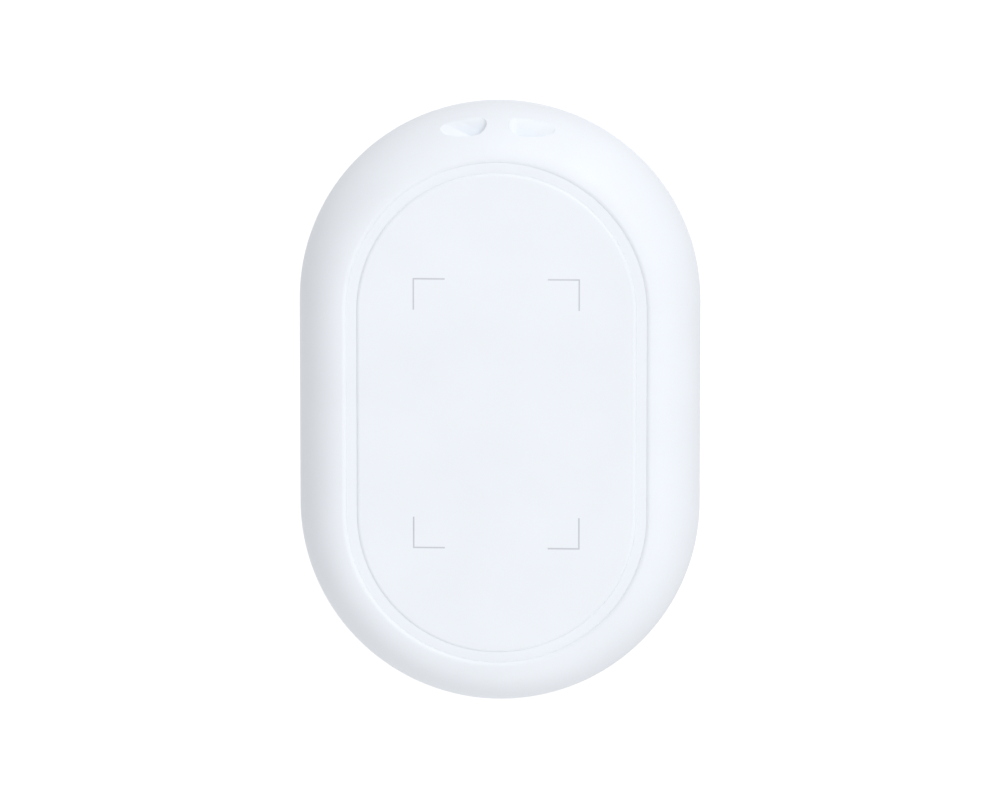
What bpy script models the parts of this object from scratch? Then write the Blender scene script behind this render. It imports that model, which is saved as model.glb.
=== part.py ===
"""A stadium-shaped Bluetooth tracker tag, lying on its back with its face up.

X runs across the tag, Y along it towards the strap end, and Z out of the face.
The origin is on the back plane, midway between the two round ends.
"""

import math

import bmesh
import bpy

MM = 0.001

# Driving dimensions of the body
BODY_RADIUS = 18.0 * MM  # half the width, and the radius of both round ends
STRAIGHT = 18.5 * MM  # from the centre of one round end to the centre of the other
FACE_TOP = 9.0 * MM  # thickness of the tag
WIDEST_Z = 2.0 * MM  # height of the seam, where the body is widest
STEP_RADIUS = 13.43 * MM  # where the domed rim steps down to the seal band
PANEL_RADIUS = 12.5 * MM
STEP_DEPTH = 0.18 * MM  # the seal band lies this far below the rim and the panel
BACK_EDGE = 1.6 * MM  # radius of the edge round the back
SEAM_GAP = 0.1 * MM
SEAT_GAP = 0.05 * MM  # between pieces that touch on the real tag
OVERLAP = 0.2 * MM  # how far shapes that are joined run into each other
CLEAR = 1.0 * MM  # how far a cutter reaches past what it cuts

# Front shell
CAVITY_RADIUS = 15.3 * MM
CEILING = 7.5 * MM  # underside of the ledge that keeps the panel in
LEDGE_RADIUS = 12.98 * MM
LEDGE_TOP = 8.2 * MM
GASKET_GROOVE = (15.8 * MM, 16.7 * MM, 0.5 * MM)  # inner radius, outer radius, depth
STRAP_BLOCK_Y = 21.9 * MM  # flat inner side of the solid end that holds the strap
STRAP_BLOCK_Z = 3.1 * MM
BOSS_RADIUS = 1.2 * MM
PILOT_RADIUS = 0.65 * MM
PILOT_TOP = 7.2 * MM
SCREW_ORBIT = 13.9 * MM  # from the centre of a round end to a screw
SCREW_PLACES = ((1, 1), (-1, 1), (-1, -1), (1, -1))

# Strap scoops and the cord passage behind the post between them
# Across from the post's middle and up the rim's curve, both in millimetres
SCOOP_MIDDLE = math.radians(47)  # place on the rim that the scoop's heights are measured from
SCOOP_LOW, SCOOP_HIGH = -1.2, 1.07
SCOOP_NEAR, SCOOP_WIDEST, SCOOP_TIP = 0.95, 2.0, 5.15
SCOOP_TIP_ROUND = 0.45
SCOOP_END_ROUND = 0.85  # where the round end meets the straight lower edge
SCOOP_END_LEVEL = -0.25  # height of the round end's middle
SCOOP_CENTRE = (2.6, -0.1)  # the point that the cutter's layers shrink towards
SCOOP_LAYERS = ((1.0, 0.6), (0.9, 1.0), (0.6, 1.0), (0.3, 1.0))  # size, share of the full depth
SCOOP_ABOVE = 0.6  # how far the cutter stands out of the rim
SCOOP_FLOOR_SLOPE = 1.0  # depth gained up the rim
SCOOP_RAMP = (0.368, 0.3)  # depth gained towards the post, and up the rim
SCOOP_RAMP_START = 4.8
SCOOP_DEEPEST = 1.5
PASSAGE_RADIUS = 0.42 * MM
PASSAGE_BEND = 2.05 * MM
PASSAGE_Z = 7.05 * MM
PASSAGE_BEND_Y = 24.75 * MM
PASSAGE_END = math.radians(10)  # the passage is this much short of a half turn at each end

# Face panel
PANEL_EDGE = 0.15 * MM
PANEL_RIM = (11.6 * MM, 6.8 * MM)  # inner radius and lower end of its skirt
NIB_RADIUS = 0.8 * MM
NIB_BOTTOM = 7.0 * MM
TAB_SIZE = (1.25 * MM, 5.0 * MM, 0.6 * MM)
TAB_CENTRE = (12.62 * MM, 6.0 * MM, 7.1 * MM)

# Rear cover and battery door
FLOOR = 1.2 * MM
SKIRT = (14.5 * MM, 15.2 * MM, 3.0 * MM)  # inner radius, outer radius, top
DOOR_Y = -6.5 * MM
DOOR_PAD = (14.2 * MM, 1.7 * MM)  # radius and top of the thicker ring round the door
DOOR_SEAT_RADIUS = 13.1 * MM
DOOR_SEAT_TOP = 1.15 * MM
DOOR_HOLE_RADIUS = 11.7 * MM
DOOR_BOTTOM = 0.1 * MM
DOOR_RADIUS = 13.0 * MM
DOOR_TOP = 1.1 * MM
DOOR_NECK = (10.9 * MM, 11.6 * MM, 2.35 * MM)  # inner radius, outer radius, top
DOOR_GROOVE = (12.5 * MM, 0.35 * MM, 0.85 * MM)  # floor radius, lower side, upper side
SEAL_RING_RADIUS = 12.8 * MM
SEAL_WIRE_RADIUS = 0.23 * MM
LUG_COUNT = 3
LUG_SIZE = (4.6 * MM, 1.2 * MM, 0.5 * MM)  # round the door, outwards, up
LUG_CENTRE = (11.9 * MM, 2.05 * MM)  # from the door's axis, and height
LUG_NOTCH_SIZE = (6.4 * MM, 1.9 * MM, 2.0 * MM)
LUG_NOTCH_CENTRE = 11.75 * MM
DOOR_TURN = math.radians(30)
STOP_RADIUS = 0.35 * MM
STOP_ORBIT = 12.45 * MM
STOP_ANGLES = (math.radians(-15), math.radians(45))  # beside a locked and a free lug
COIN_SLOT = (13.0 * MM, 1.7 * MM, 0.55 * MM)

# Battery holder and coin cell
HOLDER_PLATE = (15.0 * MM, 4.35 * MM, 4.85 * MM)  # radius, underside, top
HOLDER_END_Y = 21.7 * MM
HOLDER_RING = (10.25 * MM, 11.4 * MM, 2.45 * MM)  # inner radius, outer radius, lower end
HOLDER_WINDOW = 8.95 * MM
CONTACT_SLOTS = {  # centre along the tag, width, length
    "positive_slot": (-17.8 * MM, 3.2 * MM, 3.4 * MM),
    "negative_slot": (3.8 * MM, 3.2 * MM, 5.2 * MM),
}
EAR_HOLE_RADIUS = 0.75 * MM
PEG_PLACES = ((8.6 * MM, 15.6 * MM), (-8.6 * MM, -15.6 * MM))
PEG_RADIUS = 0.6 * MM
CELL_RADIUS = 10.0 * MM
CELL_BOTTOM = 1.3 * MM
CAN_TOP = 4.25 * MM
CELL_TOP = 4.5 * MM
CAP_RADIUS = 8.5 * MM
CAP_BOTTOM = 3.9 * MM
CELL_RECESS = 9.0 * MM
CELL_EDGE = 0.25 * MM  # chamfer round the cell and its cap
CONTACT_WIDTH = 2.4 * MM
CONTACT_FOOT_Z = 4.82 * MM  # where a contact is soldered to the underside of the board
POSITIVE_THICKNESS = 0.15 * MM
POSITIVE_PATH = (  # along the tag from the cell's side, and height
    (-2.55 * MM, CONTACT_FOOT_Z),
    (-0.3 * MM, CONTACT_FOOT_Z),
    (-0.15 * MM, 4.67 * MM),
    (0.0, 3.4 * MM),
    (-0.12 * MM, 2.6 * MM),
)
NEGATIVE_THICKNESS = 0.12 * MM
NEGATIVE_PATH = (  # along the tag, and height
    (5.9 * MM, CONTACT_FOOT_Z),
    (3.4 * MM, CONTACT_FOOT_Z),
    (-0.5 * MM, 4.63 * MM),
    (-4.5 * MM, 4.64 * MM),
)

# Screws, heads down
SCREW_HEAD = (1.2 * MM, 3.55 * MM)  # radius and lower side
SCREW_SHANK_RADIUS = 0.58 * MM
SCREW_TIP = (0.2 * MM, 7.0 * MM, 0.4 * MM)  # radius, top, length of its taper
SCREW_HEAD_EDGE = (0.3 * MM, 0.25 * MM)
SCREW_RECESS = (0.45 * MM, 0.35 * MM)  # radius and depth

# Circuit board and what it carries
BOARD_RADIUS = 12.0 * MM
BOARD_BOTTOM = 4.95 * MM
BOARD_TOP = 5.75 * MM
SWITCH_SIDE = 3.6 * MM
SWITCH_WELL = (1.15 * MM, 5.95 * MM)  # radius and floor
SWITCH_TOP = 6.55 * MM
COVER_LEVELS = (6.6 * MM, 6.7 * MM)
PLUNGER_FLANGE = (1.0 * MM, 6.4 * MM, 6.54 * MM)  # radius, underside, top
PLUNGER_STEM = (0.7 * MM, 6.95 * MM)
DOME = (1.0 * MM, 5.98 * MM, 0.12 * MM, 0.05 * MM)  # radius, foot, rise, thickness
SHIELD_SIZE = (7.6 * MM, 7.6 * MM, 1.2 * MM)
SHIELD_CENTRE = (-5.2 * MM, 12.0 * MM)
SHIELD_WALL = 0.15 * MM

# Sounder
SOUNDER_Y = 14.2 * MM
ADHESIVE = (5.0 * MM, 5.7 * MM, 1.25 * MM, 1.45 * MM)  # radii, underside, top
DISC = (5.75 * MM, 1.5 * MM, 1.65 * MM)  # radius, underside, top
CERAMIC = (4.2 * MM, 1.7 * MM, 1.85 * MM)
SPRING_COIL_RADIUS = 0.6 * MM
SPRING_WIRE_RADIUS = 0.12 * MM
SPRING_TURNS = 3.5
SPRING_TOP = 4.78 * MM
SPRING_HOLE = 1.1 * MM
SPRINGS = {  # across the tag, and lowest point of the wire's centre line
    "buzzer_spring_1": (0.0, 2.02 * MM),
    "buzzer_spring_2": (-4.95 * MM, 1.82 * MM),
}

# Smoothness
ARC_STEPS = 22  # along each round end
RIM_STEPS = 8  # down the domed rim
EDGE_STEPS = 4
TURN_STEPS = 36
SMALL_TURN_STEPS = 14
WIRE_STEPS = 8  # per turn of a spring
SHARP = math.radians(35)

# Board parts: centre across and along, size across, along and up, material
BOARD_PARTS = {
    "radio_chip": (-5.2, 12.0, 4.0, 4.0, 0.75, "chip_black"),
    "chip_antenna": (0.0, 19.0, 6.0, 1.6, 1.0, "antenna_ceramic"),
    "crystal_main": (1.6, 12.5, 2.0, 1.6, 0.55, "crystal_can"),
    "crystal_clock": (1.6, 9.6, 1.6, 1.0, 0.5, "crystal_can"),
    "inductor": (6.2, -12.0, 2.5, 2.0, 1.1, "chip_black"),
    "capacitor_1": (4.4, 12.4, 1.0, 0.5, 0.5, "capacitor_tan"),
    "capacitor_2": (4.4, 10.6, 1.0, 0.5, 0.5, "capacitor_tan"),
    "capacitor_3": (3.4, -12.6, 1.0, 0.5, 0.5, "capacitor_tan"),
    "capacitor_4": (-6.4, -12.4, 1.6, 0.8, 0.8, "capacitor_tan"),
    "resistor_1": (4.4, 8.8, 1.0, 0.5, 0.35, "chip_black"),
    "resistor_2": (3.4, -11.0, 1.0, 0.5, 0.35, "chip_black"),
}

# Colour, roughness and metallic value
MATERIALS = {
    "shell_white": ((0.86, 0.89, 0.93), 0.45, 0.0),
    "panel_white": ((0.85, 0.88, 0.92), 0.50, 0.0),
    "seal_white": ((0.83, 0.86, 0.90), 0.65, 0.0),
    "seal_grey": ((0.10, 0.10, 0.11), 0.70, 0.0),
    "holder_grey": ((0.25, 0.26, 0.27), 0.55, 0.0),
    "board_green": ((0.02, 0.16, 0.07), 0.40, 0.0),
    "chip_black": ((0.02, 0.02, 0.022), 0.45, 0.0),
    "shield_tin": ((0.72, 0.72, 0.70), 0.30, 1.0),
    "crystal_can": ((0.75, 0.74, 0.70), 0.25, 1.0),
    "antenna_ceramic": ((0.80, 0.80, 0.76), 0.35, 0.0),
    "capacitor_tan": ((0.48, 0.34, 0.20), 0.45, 0.0),
    "cell_steel": ((0.70, 0.71, 0.72), 0.28, 1.0),
    "contact_gold": ((0.83, 0.66, 0.30), 0.25, 1.0),
    "disc_brass": ((0.78, 0.58, 0.24), 0.30, 1.0),
    "piezo_ceramic": ((0.74, 0.71, 0.62), 0.50, 0.0),
    "adhesive": ((0.78, 0.76, 0.68), 0.60, 0.0),
    "screw_steel": ((0.45, 0.46, 0.48), 0.35, 1.0),
}


# Scene and materials


def clear_scene():
    for obj in list(bpy.data.objects):
        bpy.data.objects.remove(obj, do_unlink=True)


def new_collection(name):
    collection = bpy.data.collections.new(name)
    bpy.context.scene.collection.children.link(collection)
    return collection


def new_material(name):
    colour, roughness, metallic = MATERIALS[name]
    material = bpy.data.materials.new(name)
    material.use_nodes = True
    shader = material.node_tree.nodes["Principled BSDF"]
    shader.inputs["Base Color"].default_value = (*colour, 1.0)
    shader.inputs["Roughness"].default_value = roughness
    shader.inputs["Metallic"].default_value = metallic
    material.diffuse_color = (*colour, 1.0)
    return material


def add_object(name, mesh, collection, location=(0, 0, 0)):
    obj = bpy.data.objects.new(name, mesh)
    obj.location = location
    collection.objects.link(obj)
    return obj


def add_mesh(name, bm, location=(0, 0, 0)):
    """A cutter or helper from this bmesh, hidden until finish() makes it a part."""
    bmesh.ops.recalc_face_normals(bm, faces=bm.faces)
    mesh = bpy.data.meshes.new(name)
    bm.to_mesh(mesh)
    bm.free()
    mesh.shade_smooth()
    mesh.set_sharp_from_angle(angle=SHARP)
    obj = add_object(name, mesh, cutters, location)
    hide(obj)
    return obj


def hide(obj):
    obj.hide_render = True
    obj.display_type = "WIRE"


def finish(obj, material):
    """Moves a built object from the cutters to the parts and gives it its material."""
    cutters.objects.unlink(obj)
    parts.objects.link(obj)
    obj.hide_render = False
    obj.display_type = "TEXTURED"
    obj.data.materials.append(materials[material])
    return obj


def combine(obj, other, operation):
    boolean = obj.modifiers.new(other.name, "BOOLEAN")
    boolean.operation = operation
    boolean.object = other


def cut(obj, *others):
    for other in others:
        combine(obj, other, "DIFFERENCE")


def join(obj, *others):
    for other in others:
        combine(obj, other, "UNION")


# Shapes


def stadium(radius, height):
    """Points round a stadium of this end radius, at this height."""
    points = []
    for end in (1, -1):
        for step in range(ARC_STEPS + 1):
            angle = math.pi * (step / ARC_STEPS + (end < 0))
            y = end * STRAIGHT / 2 + radius * math.sin(angle)
            points.append((radius * math.cos(angle), y, height))
    return points


def stadium_loft(name, sections, ring=False):
    """A loft through stadiums, each (radius, height). A ring has its last joined to its first."""
    bm = bmesh.new()
    loops = [[bm.verts.new(point) for point in stadium(*section)] for section in sections]
    pairs = list(zip(loops, loops[1:]))
    if ring:
        pairs.append((loops[-1], loops[0]))
    else:
        bm.faces.new(loops[0])
        bm.faces.new(loops[-1])
    for first, second in pairs:
        for index in range(len(first)):
            bm.faces.new((first[index - 1], first[index], second[index], second[index - 1]))
    return add_mesh(name, bm)


def box(name, size, centre, turn=0.0):
    bm = bmesh.new()
    bmesh.ops.create_cube(bm, size=1.0)
    bmesh.ops.scale(bm, vec=size, verts=bm.verts)
    obj = add_mesh(name, bm, centre)
    obj.rotation_euler.z = turn
    return obj


def cylinder(name, radius, low, high, place=(0.0, 0.0), steps=SMALL_TURN_STEPS):
    bm = bmesh.new()
    bmesh.ops.create_cone(
        bm, cap_ends=True, segments=steps, radius1=radius, radius2=radius, depth=high - low
    )
    return add_mesh(name, bm, (*place, (low + high) / 2))


def turned(name, profile, place=(0.0, 0.0), steps=TURN_STEPS, ring=False):
    """A profile of (radius, height), running down its outer side, turned about Z."""
    bm = bmesh.new()
    verts = [bm.verts.new((radius, 0, height)) for radius, height in profile]
    for pair in zip(verts, verts[1:]):
        bm.edges.new(pair)
    if ring:
        bm.edges.new((verts[-1], verts[0]))
    mesh = bpy.data.meshes.new(name)
    bm.to_mesh(mesh)
    bm.free()
    obj = add_object(name, mesh, cutters, (*place, 0))
    hide(obj)
    screw = obj.modifiers.new("Screw", "SCREW")
    screw.steps = steps
    screw.render_steps = steps
    screw.use_merge_vertices = True
    screw.merge_threshold = 0.000001
    screw.use_smooth_shade = True
    return obj


def wire(name, points, radius, resolution):
    """A round tube through these points, as a mesh."""
    curve = bpy.data.curves.new(name, "CURVE")
    curve.dimensions = "3D"
    curve.bevel_depth = radius
    curve.bevel_resolution = resolution
    curve.use_fill_caps = True
    spline = curve.splines.new("POLY")
    spline.points.add(len(points) - 1)
    for index, point in enumerate(points):
        spline.points[index].co = (*point, 1)
    source = add_object(name + "_curve", curve, cutters)
    graph = bpy.context.evaluated_depsgraph_get()
    mesh = bpy.data.meshes.new_from_object(source.evaluated_get(graph))
    bpy.data.objects.remove(source, do_unlink=True)
    bm = bmesh.new()
    bm.from_mesh(mesh)
    bmesh.ops.remove_doubles(bm, verts=bm.verts, dist=0.000001)
    return add_mesh(name, bm)


def strip(name, path, width, thickness):
    """A bent metal strip: its middle line is a path of (y, z), and it is level across X."""
    bm = bmesh.new()
    rows = [[bm.verts.new((x, y, z)) for x in (-width / 2, width / 2)] for y, z in path]
    for row, following in zip(rows, rows[1:]):
        bm.faces.new((row[0], row[1], following[1], following[0]))
    obj = add_mesh(name, bm)
    solidify = obj.modifiers.new("Solidify", "SOLIDIFY")
    solidify.thickness = thickness
    solidify.offset = 0
    solidify.use_even_offset = True
    return obj


def around_door(angle, radius):
    """A place at this angle and distance from the door's axis."""
    return (radius * math.sin(angle), DOOR_Y + radius * math.cos(angle))


def lug_angles():
    return [2 * math.pi * index / LUG_COUNT for index in range(LUG_COUNT)]


def screw_place(across, along):
    reach = SCREW_ORBIT * math.sqrt(0.5)
    return (across * reach, along * (STRAIGHT / 2 + reach))


# Front shell


def rim_point(angle):
    """Radius and height on the domed rim, a quarter ellipse from the seam (0) to the face."""
    radius = STEP_RADIUS + (BODY_RADIUS - STEP_RADIUS) * math.cos(angle)
    return radius, WIDEST_Z + (FACE_TOP - WIDEST_Z) * math.sin(angle)


def rim_normal(angle):
    out = math.cos(angle) / (BODY_RADIUS - STEP_RADIUS)
    up = math.sin(angle) / (FACE_TOP - WIDEST_Z)
    length = math.hypot(out, up)
    return out / length, up / length


def shell_profile():
    inner, outer, depth = GASKET_GROOVE
    quarter = math.pi / 2
    rim = [rim_point(quarter * (1 - step / RIM_STEPS)) for step in range(RIM_STEPS + 1)]
    inside = [
        (outer, WIDEST_Z),
        (outer, WIDEST_Z + depth),
        (inner, WIDEST_Z + depth),
        (inner, WIDEST_Z),
        (CAVITY_RADIUS, WIDEST_Z),
        (CAVITY_RADIUS, CEILING),
        (LEDGE_RADIUS, CEILING),
        (LEDGE_RADIUS, LEDGE_TOP),
        (STEP_RADIUS, LEDGE_TOP),
    ]
    return rim + inside


def strap_block():
    """The solid end of the shell, which the strap scoops and the cord passage are cut into."""
    radius = CAVITY_RADIUS + OVERLAP
    block = stadium_loft("strap_block", [(radius, STRAP_BLOCK_Z), (radius, CEILING + OVERLAP)])
    length = 2 * STRAIGHT + 2 * BODY_RADIUS
    centre = (0, STRAP_BLOCK_Y - length / 2, FACE_TOP / 2)
    cut(block, box("strap_block_end", (4 * BODY_RADIUS, length, 2 * FACE_TOP), centre))
    return block


def climb_angle(climb):
    """The place on the rim that is this far up its curve from the scoop's middle."""
    steps = 40
    angle = SCOOP_MIDDLE
    for _ in range(steps):
        across = (BODY_RADIUS - STEP_RADIUS) * math.sin(angle)
        upward = (FACE_TOP - WIDEST_Z) * math.cos(angle)
        angle += climb / steps / math.hypot(across, upward)
    return angle


def ellipse_part(centre, across, along, start, end, steps):
    """Points along part of an ellipse, without the last one."""
    points = []
    for step in range(steps):
        angle = math.radians(start + (end - start) * step / steps)
        points.append((centre[0] + across * math.cos(angle), centre[1] + along * math.sin(angle)))
    return points


def scoop_outline():
    """The scoop's edge: a long curve to the tip above, a straight edge below, a round end."""
    tip_level = SCOOP_LOW + SCOOP_TIP_ROUND
    long_half = SCOOP_TIP - SCOOP_WIDEST
    short_half = SCOOP_WIDEST - SCOOP_NEAR
    points = ellipse_part((SCOOP_WIDEST, tip_level), long_half, SCOOP_HIGH - tip_level, 0, 90, 9)
    end_centre = (SCOOP_WIDEST, SCOOP_END_LEVEL)
    points += ellipse_part(end_centre, short_half, SCOOP_HIGH - SCOOP_END_LEVEL, 90, 180, 6)
    low_centre = (SCOOP_NEAR + SCOOP_END_ROUND, SCOOP_END_LEVEL)
    drop = SCOOP_END_LEVEL - SCOOP_LOW
    points += ellipse_part(low_centre, SCOOP_END_ROUND, drop, 180, 270, 5)
    tip_centre = (SCOOP_TIP - SCOOP_TIP_ROUND, tip_level)
    straight = tip_centre[0] - low_centre[0]
    points += [(low_centre[0] + straight * step / 5, SCOOP_LOW) for step in range(5)]
    return points + ellipse_part(tip_centre, SCOOP_TIP_ROUND, SCOOP_TIP_ROUND, 270, 360, 4)


def scoop_depth(across, up):
    floor = SCOOP_FLOOR_SLOPE * (up - SCOOP_LOW)
    ramp = SCOOP_RAMP[0] * (SCOOP_RAMP_START - across) + SCOOP_RAMP[1] * (up - SCOOP_LOW)
    return max(min(floor, ramp, SCOOP_DEEPEST), 0)


def strap_scoop(side):
    """A cutter for one scoop: deepest at its upper edge, with a ramp up to the tip."""
    edge = scoop_outline()
    layers = [[(x, up, -SCOOP_ABOVE) for x, up in edge]]
    for size, kept in SCOOP_LAYERS:
        layer = []
        for x, up in edge:
            x = SCOOP_CENTRE[0] + (x - SCOOP_CENTRE[0]) * size
            up = SCOOP_CENTRE[1] + (up - SCOOP_CENTRE[1]) * size
            layer.append((x, up, kept * scoop_depth(x, up)))
        layers.append(layer)
    layers.append([(*SCOOP_CENTRE, scoop_depth(*SCOOP_CENTRE))])
    bm = bmesh.new()
    rows = []
    for layer in layers:
        row = []
        for x, up, deep in layer:
            angle = climb_angle(up * MM)
            reach, height = rim_point(angle)
            out, rise = rim_normal(angle)
            turn = math.asin(x * MM / reach)
            reach -= out * deep * MM
            y = STRAIGHT / 2 + reach * math.cos(turn)
            row.append(bm.verts.new((side * reach * math.sin(turn), y, height - rise * deep * MM)))
        rows.append(row)
    bm.faces.new(rows[0])
    for first, second in zip(rows, rows[1:]):
        for index in range(len(first)):
            if len(second) == 1:
                bm.faces.new((first[index - 1], first[index], second[0]))
            else:
                bm.faces.new((first[index - 1], first[index], second[index], second[index - 1]))
    return add_mesh(f"scoop_{side}", bm)


def cord_passage():
    """A curved passage from one scoop to the other, behind the post."""
    steps = 12
    sweep = math.pi - 2 * PASSAGE_END
    points = []
    for step in range(steps + 1):
        angle = math.pi + PASSAGE_END + sweep * step / steps
        y = PASSAGE_BEND_Y + PASSAGE_BEND * math.sin(angle)
        points.append((PASSAGE_BEND * math.cos(angle), y, PASSAGE_Z))
    return wire("cord_passage", points, PASSAGE_RADIUS, 3)


def make_front_shell():
    shell = stadium_loft("front_shell", shell_profile(), ring=True)
    join(shell, strap_block())
    for index, (across, along) in enumerate(SCREW_PLACES):
        place = screw_place(across, along)
        low = HOLDER_PLATE[2] + SEAM_GAP
        join(shell, cylinder(f"boss_{index}", BOSS_RADIUS, low, CEILING + OVERLAP, place))
        cut(shell, cylinder(f"pilot_{index}", PILOT_RADIUS, low - CLEAR, PILOT_TOP, place))
    cut(shell, strap_scoop(1), strap_scoop(-1), cord_passage())
    finish(shell, "shell_white")


# Face


def make_face_seal():
    top = FACE_TOP - STEP_DEPTH
    low = LEDGE_TOP + SEAT_GAP
    inner = PANEL_RADIUS + SEAM_GAP
    outer = STEP_RADIUS - SEAT_GAP
    profile = [(outer, top), (outer, low), (inner, low), (inner, top)]
    finish(stadium_loft("face_seal", profile, ring=True), "seal_white")


def make_face_panel():
    rim_radius, rim_bottom = PANEL_RIM
    sections = [(rim_radius, CEILING), (rim_radius, rim_bottom), (PANEL_RADIUS, rim_bottom)]
    for step in range(EDGE_STEPS + 1):
        angle = math.pi / 2 * step / EDGE_STEPS
        radius = PANEL_RADIUS - PANEL_EDGE * (1 - math.cos(angle))
        sections.append((radius, FACE_TOP - PANEL_EDGE * (1 - math.sin(angle))))
    panel = stadium_loft("face_panel", sections)
    join(panel, cylinder("nib", NIB_RADIUS, NIB_BOTTOM, CEILING + OVERLAP))
    x, y, z = TAB_CENTRE
    for across, along in SCREW_PLACES:
        name = f"tab_{across}_{along}"
        join(panel, box(name, TAB_SIZE, (across * x, along * y, z)))
    finish(panel, "panel_white")


# Rear cover and battery door


def make_rear_cover():
    inner, outer, top = SKIRT
    seam = WIDEST_Z - SEAM_GAP
    sections = []
    for step in range(EDGE_STEPS + 3):
        angle = math.pi / 2 * step / (EDGE_STEPS + 2)
        radius = BODY_RADIUS - BACK_EDGE * (1 - math.sin(angle))
        sections.append((radius, BACK_EDGE * (1 - math.cos(angle))))
    sections += [(BODY_RADIUS, seam), (outer, seam), (outer, top), (inner, top), (inner, FLOOR)]
    cover = stadium_loft("rear_cover", sections)
    place = (0.0, DOOR_Y)
    pad_radius, pad_top = DOOR_PAD
    join(cover, cylinder("pad", pad_radius, FLOOR - OVERLAP, pad_top, place, TURN_STEPS))
    for index, angle in enumerate(lug_angles()):
        for end, offset in enumerate(STOP_ANGLES):
            post = around_door(angle + offset, STOP_ORBIT)
            name = f"stop_{index}_{end}"
            join(cover, cylinder(name, STOP_RADIUS, pad_top - OVERLAP, DOOR_NECK[2], post))
    cut(cover, cylinder("door_seat", DOOR_SEAT_RADIUS, -CLEAR, DOOR_SEAT_TOP, place, TURN_STEPS))
    hole = cylinder("door_hole", DOOR_HOLE_RADIUS, -CLEAR, pad_top + CLEAR, place, TURN_STEPS)
    cut(cover, hole)
    for index, angle in enumerate(lug_angles()):
        centre = (*around_door(angle + DOOR_TURN, LUG_NOTCH_CENTRE), DOOR_SEAT_TOP)
        cut(cover, box(f"lug_notch_{index}", LUG_NOTCH_SIZE, centre, -angle - DOOR_TURN))
    finish(cover, "shell_white")


def make_shell_gasket():
    inner, outer, depth = GASKET_GROOVE
    top = WIDEST_Z + depth - SEAT_GAP
    low = WIDEST_Z - SEAM_GAP + SEAT_GAP
    profile = [(outer - SEAT_GAP, top), (outer - SEAT_GAP, low)]
    profile += [(inner + SEAT_GAP, low), (inner + SEAT_GAP, top)]
    finish(stadium_loft("shell_gasket", profile, ring=True), "seal_grey")


def make_battery_door():
    neck_inner, neck_outer, neck_top = DOOR_NECK
    groove_radius, groove_low, groove_high = DOOR_GROOVE
    profile = [
        (0, DOOR_TOP),
        (neck_inner, DOOR_TOP),
        (neck_inner, neck_top),
        (neck_outer, neck_top),
        (neck_outer, DOOR_TOP),
        (DOOR_RADIUS, DOOR_TOP),
        (DOOR_RADIUS, groove_high),
        (groove_radius, groove_high),
        (groove_radius, groove_low),
        (DOOR_RADIUS, groove_low),
        (DOOR_RADIUS, DOOR_BOTTOM),
        (0, DOOR_BOTTOM),
    ]
    door = turned("battery_door", profile, (0.0, DOOR_Y))
    for index, angle in enumerate(lug_angles()):
        centre = (*around_door(angle, LUG_CENTRE[0]), LUG_CENTRE[1])
        join(door, box(f"lug_{index}", LUG_SIZE, centre, -angle))
    length, width, depth = COIN_SLOT
    high = DOOR_BOTTOM + depth
    slot_size = (length, width, high + CLEAR)
    cut(door, box("coin_slot", slot_size, (0, DOOR_Y, (high - CLEAR) / 2)))
    finish(door, "shell_white")


def make_door_seal():
    middle = (DOOR_GROOVE[1] + DOOR_GROOVE[2]) / 2
    steps = 10
    profile = []
    for step in range(steps):
        angle = -2 * math.pi * step / steps
        radius = SEAL_RING_RADIUS + SEAL_WIRE_RADIUS * math.cos(angle)
        profile.append((radius, middle + SEAL_WIRE_RADIUS * math.sin(angle)))
    finish(turned("door_seal", profile, (0.0, DOOR_Y), ring=True), "seal_grey")


# Battery holder and coin cell


def make_battery_holder():
    radius, low, high = HOLDER_PLATE
    inner, outer, bottom = HOLDER_RING
    place = (0.0, DOOR_Y)
    holder = stadium_loft("battery_holder", [(radius, low), (radius, high)])
    ring = cylinder("holder_ring", outer, bottom, low + OVERLAP, place, TURN_STEPS)
    join(holder, ring)
    below = bottom - CLEAR
    above = high + CLEAR
    cut(holder, cylinder("holder_bore", inner, below, low, place, TURN_STEPS))
    cut(holder, cylinder("holder_window", HOLDER_WINDOW, below, above, place, TURN_STEPS))
    end_length = BODY_RADIUS
    end_size = (2 * BODY_RADIUS, end_length, above - below)
    end_centre = (0, HOLDER_END_Y + end_length / 2, (below + above) / 2)
    cut(holder, box("holder_end", end_size, end_centre))
    for name, (y, width, length) in CONTACT_SLOTS.items():
        cut(holder, box(name, (width, length, above - below), (0, y, (below + above) / 2)))
    for index, (across, along) in enumerate(SCREW_PLACES):
        place = screw_place(across, along)
        cut(holder, cylinder(f"ear_hole_{index}", EAR_HOLE_RADIUS, below, above, place))
    for name, (x, _) in SPRINGS.items():
        cut(holder, cylinder(f"{name}_hole", SPRING_HOLE, below, above, (x, SOUNDER_Y)))
    for index, peg in enumerate(PEG_PLACES):
        join(holder, cylinder(f"peg_{index}", PEG_RADIUS, high - OVERLAP, BOARD_TOP, peg))
    finish(holder, "holder_grey")


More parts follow.
